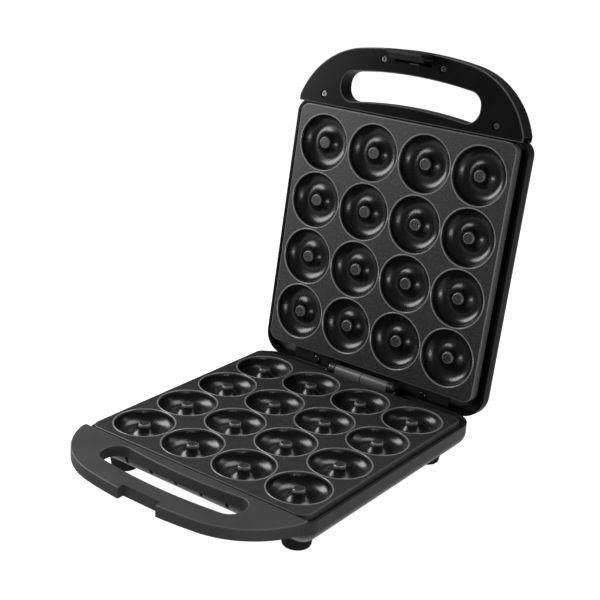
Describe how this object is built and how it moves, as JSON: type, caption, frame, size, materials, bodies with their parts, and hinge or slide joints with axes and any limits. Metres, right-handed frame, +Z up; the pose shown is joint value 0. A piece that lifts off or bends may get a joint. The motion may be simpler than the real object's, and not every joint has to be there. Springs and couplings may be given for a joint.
{
  "type": "mini donut maker",
  "caption": "Electric ring-cake maker: hinged lid shown open, two cast plates with ring wells, handles with hand slots, front catch, feet.",
  "frame": {"origin": "centre of the bounding box with the lid open, at the level the feet stand on", "axes": "+X to the right of someone facing the handles' side, +Y towards the hinge at the back, +Z up"},
  "size_m": [0.235, 0.3524, 0.3315],
  "materials": {
    "base_plastic": "satin",
    "grip_plastic": "matt",
    "screw_steel": "blackened",
    "non_stick": "dark non-stick coat",
    "element_steel": "heat-dulled tube",
    "sheet_aluminium": "mill",
    "ceramic": "matt",
    "bush_rubber": "matt",
    "hinge_plastic": "satin",
    "foot_rubber": "matt",
    "lid_plastic": "gloss",
    "control_metal": "plain",
    "red_lens": "clear",
    "green_lens": "clear",
    "lamp_glass": "clear",
    "pin_steel": "bright",
    "catch_plastic": "satin"
  },
  "bodies": {
    "base": {"base_shell": "base_plastic", "lower_handle": "grip_plastic", "lower_handle_screws": "screw_steel", "lower_plate": "non_stick", "lower_plate_screws": "screw_steel", "lower_heater": "element_steel", "lower_clips": "pin_steel", "lower_shield": "sheet_aluminium", "terminal_block": "ceramic", "cord_gland": "bush_rubber", "base_hinge": "hinge_plastic", "base_hinge_screws": "screw_steel", "hinge_pin": "pin_steel", "foot_front_left": "foot_rubber", "foot_front_right": "foot_rubber", "foot_rear_left": "foot_rubber", "foot_rear_right": "foot_rubber", "foot_screws": "screw_steel"},
    "lid": {"lid_shell": "lid_plastic", "handle_cover": "lid_plastic", "handle_cover_screws": "screw_steel", "upper_plate": "non_stick", "upper_heater": "element_steel", "upper_clips": "pin_steel", "upper_shield": "sheet_aluminium", "thermostat": "control_metal", "thermal_fuse": "ceramic", "lid_hinge_strip": "hinge_plastic", "lid_hinge_screws": "screw_steel", "power_lens": "red_lens", "ready_lens": "green_lens", "power_lamp": "lamp_glass", "ready_lamp": "lamp_glass", "catch_pin": "pin_steel", "catch_spring": "pin_steel"},
    "catch": {"catch": "catch_plastic"}
  },
  "joints": [
    {"name": "lid_hinge", "type": "hinge", "parent": "base", "child": "lid", "pos_m": [0, 0.1172, 0.0392], "axis": [1, 0, 0], "range_deg": [0, 98]},
    {"name": "catch_pivot", "type": "hinge", "parent": "lid", "child": "catch", "pos_m": [0, 0.16392, 0.32347], "axis": [-1, 0, 0], "range_deg": [0, 15], "stiffness_Nm_per_rad": 0.05, "deforming": ["catch_spring"]}
  ]
}
